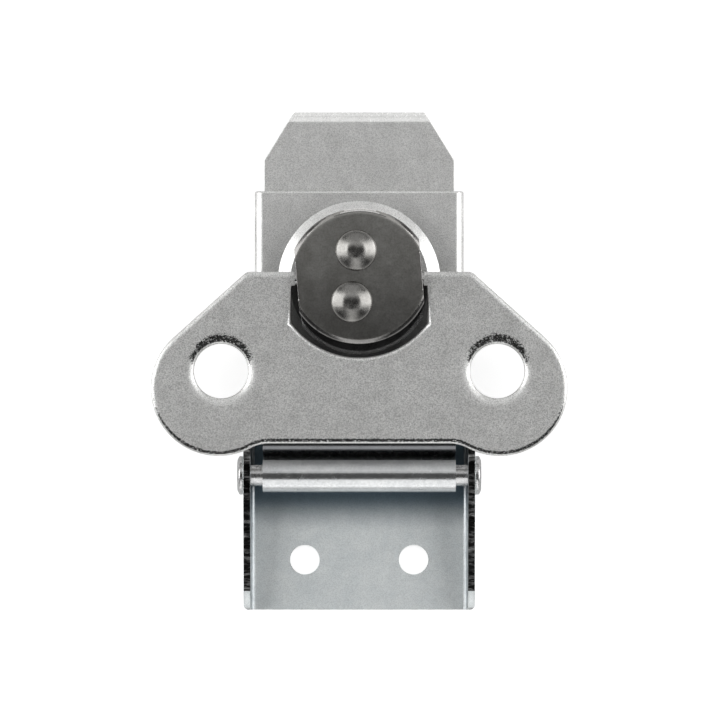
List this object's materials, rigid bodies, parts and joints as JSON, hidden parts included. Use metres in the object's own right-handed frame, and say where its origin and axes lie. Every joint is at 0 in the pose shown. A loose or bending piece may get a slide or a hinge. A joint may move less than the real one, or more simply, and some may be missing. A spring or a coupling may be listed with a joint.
{
  "type": "surface mount cam latch",
  "caption": "Plated steel surface mount cam latch: hinged carrier on a riveted base, hook plate drawn by a crank, and a folding wing handle that turns the rotor.",
  "frame": {"origin": "on the mounting face, midway between the two fixing holes of the base", "axes": "+X across the latch, +Y from the base towards the hook, +Z away from the mounting face"},
  "size_m": [0.0696, 0.0839, 0.0142],
  "materials": {
    "plated_sheet": "bright zinc plate, tumbled",
    "dark_steel": "dark satin",
    "rivet_steel": "polished",
    "pin_steel": "bright"
  },
  "bodies": {
    "base": {"base_plate": "plated_sheet", "pivot_pin": "pin_steel"},
    "carrier": {"carrier_plate": "plated_sheet"},
    "hook": {"hook_plate": "plated_sheet"},
    "rotor": {"rotor_body": "dark_steel", "crank_plate": "plated_sheet", "cap_plate": "dark_steel", "plain_rivet": "rivet_steel", "crank_rivet": "rivet_steel", "crank_washer": "plated_sheet"},
    "handle": {"wing_handle": "plated_sheet"}
  },
  "joints": [
    {"name": "carrier_swing", "type": "hinge", "parent": "base", "child": "carrier", "pos_m": [0, 0.01435, 0.0052], "axis": [1, 0, 0], "range_deg": [0, 90]},
    {"name": "handle_turn", "type": "hinge", "parent": "carrier", "child": "rotor", "pos_m": [0, 0.0468, 0.0082], "axis": [0, 0, 1], "range_deg": [0, 180]},
    {"name": "hook_draw", "type": "slide", "parent": "carrier", "child": "hook", "axis": [0, 1, 0], "range_m": [0, 0.0069]},
    {"name": "handle_fold", "type": "hinge", "parent": "rotor", "child": "handle", "pos_m": [0, 0.04735, 0.0102], "axis": [-1, 0, 0], "range_deg": [0, 90]}
  ],
  "couplings": [
    {"joint": "hook_draw", "follows": "handle_turn", "m_per_rad": 0.002164}
  ]
}
